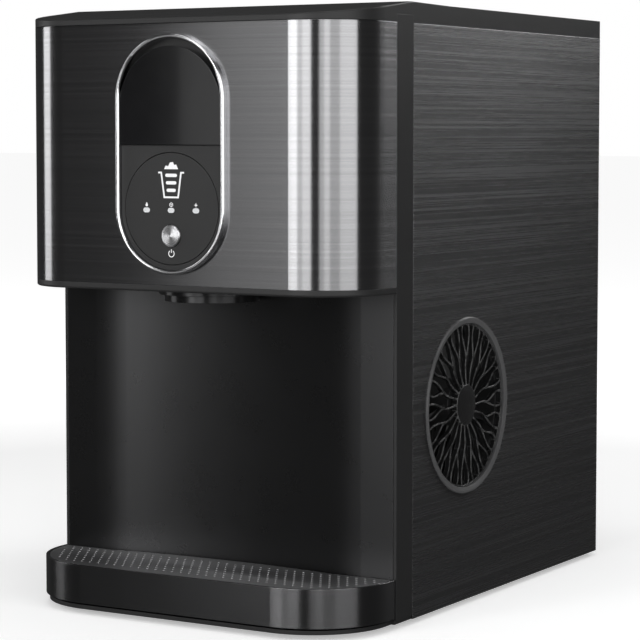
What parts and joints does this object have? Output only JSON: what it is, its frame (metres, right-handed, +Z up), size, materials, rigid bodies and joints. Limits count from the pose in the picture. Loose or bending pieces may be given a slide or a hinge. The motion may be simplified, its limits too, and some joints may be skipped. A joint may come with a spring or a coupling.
{
  "type": "self-dispensing countertop ice maker",
  "caption": "Countertop ice maker with a bowed brushed head, oval window and control face, cup bay, drip tray, side fan grilles and a top water lid.",
  "frame": {"origin": "middle of the machine's footprint at floor level", "axes": "+X to the machine's right, +Y to its back, +Z up; the cup bay faces -Y"},
  "size_m": [0.289, 0.4264, 0.4388],
  "materials": {
    "rubber": "matt black rubber",
    "satin_black": "fine satin moulding",
    "gloss_black": "polished dark moulding",
    "dark_steel": "dark brushed stainless steel, grain across",
    "side_steel": "dark brushed-look sheet steel",
    "zinc_steel": "zinc plated sheet",
    "chrome": "polished",
    "smoked": "smoked clear moulding, convex",
    "panel_grey": "fine matt grey",
    "spun_aluminium": "spun face",
    "white_lens": "white diffuser",
    "board_green": "solder mask",
    "white_plastic": "food safe moulding",
    "clear_plastic": "hazy food safe moulding",
    "stainless": "plain stainless",
    "copper": "drawn copper, fins aluminium",
    "black_paint": "baked black enamel",
    "foam": "closed cell foam",
    "hose": "silicone hose",
    "cast_alloy": "cast and machined",
    "screw_steel": "zinc plated screws"
  },
  "bodies": {
    "cabinet": {"base_pan": "satin_black", "rubber_feet": "rubber", "front_frame": "satin_black", "column_panel": "gloss_black", "right_side_panel": "side_steel", "left_side_panel": "side_steel", "right_grille_ring": "satin_black", "left_grille_ring": "satin_black", "right_fan_grille": "satin_black", "left_fan_grille": "satin_black", "rear_panel": "side_steel", "panel_screws": "screw_steel", "top_cover": "satin_black", "lid_hinge_pin": "stainless", "head_skin": "dark_steel", "head_shell": "satin_black", "head_bottom_trim": "satin_black", "bezel_ring": "chrome", "window_pane": "smoked", "window_frame": "satin_black", "control_panel": "panel_grey", "control_disc": "panel_grey", "indicator_lenses": "white_lens", "control_board": "board_green", "tact_switch": "satin_black", "chute_outlet": "gloss_black", "fan_frame": "satin_black", "fan_motor": "satin_black", "condenser": "copper", "condenser_bracket": "zinc_steel", "compressor": "black_paint", "compressor_mounts": "rubber", "filter_drier": "copper", "refrigerant_lines": "copper", "motor_bracket": "zinc_steel", "auger_motor": "cast_alloy", "auger_gearbox": "cast_alloy", "evaporator_barrel": "stainless", "barrel_insulation": "foam", "extruder_head": "stainless", "ice_guide": "white_plastic", "ice_bin": "clear_plastic", "agitator_motor": "cast_alloy", "water_tank": "clear_plastic", "float_rod": "white_plastic", "water_pump": "satin_black", "water_hose": "hose", "power_inlet": "satin_black", "drain_spout": "satin_black"},
    "drip_tray_body": {"drip_tray": "gloss_black"},
    "drip_grille_body": {"drip_grille": "stainless"},
    "button_body": {"power_button": "spun_aluminium"},
    "lid_body": {"tank_lid": "satin_black"},
    "gate_body": {"chute_gate": "white_plastic"},
    "fan_body": {"fan_rotor": "satin_black"},
    "auger_body": {"ice_auger": "stainless"},
    "agitator_body": {"bin_agitator": "white_plastic"},
    "float_body": {"tank_float": "white_plastic"},
    "plug_body": {"drain_plug": "rubber"}
  },
  "joints": [
    {"name": "tray_slide", "type": "slide", "parent": "cabinet", "child": "drip_tray_body", "axis": [0, -1, 0], "range_m": [0, 0.075]},
    {"name": "grille_lift", "type": "slide", "parent": "drip_tray_body", "child": "drip_grille_body", "axis": [0, 0, 1], "range_m": [0, 0.025]},
    {"name": "button_press", "type": "slide", "parent": "cabinet", "child": "button_body", "axis": [0, 1, 0], "range_m": [0, 0.0005], "stiffness_N_per_m": 1500},
    {"name": "lid_hinge", "type": "hinge", "parent": "cabinet", "child": "lid_body", "pos_m": [0, 0.18825, 0.4366], "axis": [-1, 0, 0], "range_deg": [0, 100]},
    {"name": "gate_slide", "type": "slide", "parent": "cabinet", "child": "gate_body", "axis": [0, 1, 0], "range_m": [0, 0.062]},
    {"name": "fan_spin", "type": "hinge", "parent": "cabinet", "child": "fan_body", "pos_m": [0.125, -0.03475, 0.148], "axis": [1, 0, 0], "continuous": true},
    {"name": "auger_spin", "type": "hinge", "parent": "cabinet", "child": "auger_body", "pos_m": [-0.085, 0.00725, 0.3], "axis": [0, 0, 1], "continuous": true},
    {"name": "agitator_spin", "type": "hinge", "parent": "cabinet", "child": "agitator_body", "pos_m": [0, -0.10075, 0.334], "axis": [1, 0, 0], "continuous": true},
    {"name": "float_rise", "type": "slide", "parent": "cabinet", "child": "float_body", "axis": [0, 0, 1], "range_m": [0, 0.068]},
    {"name": "plug_pull", "type": "slide", "parent": "cabinet", "child": "plug_body", "axis": [0, 1, 0], "range_m": [0, 0.02]}
  ]
}
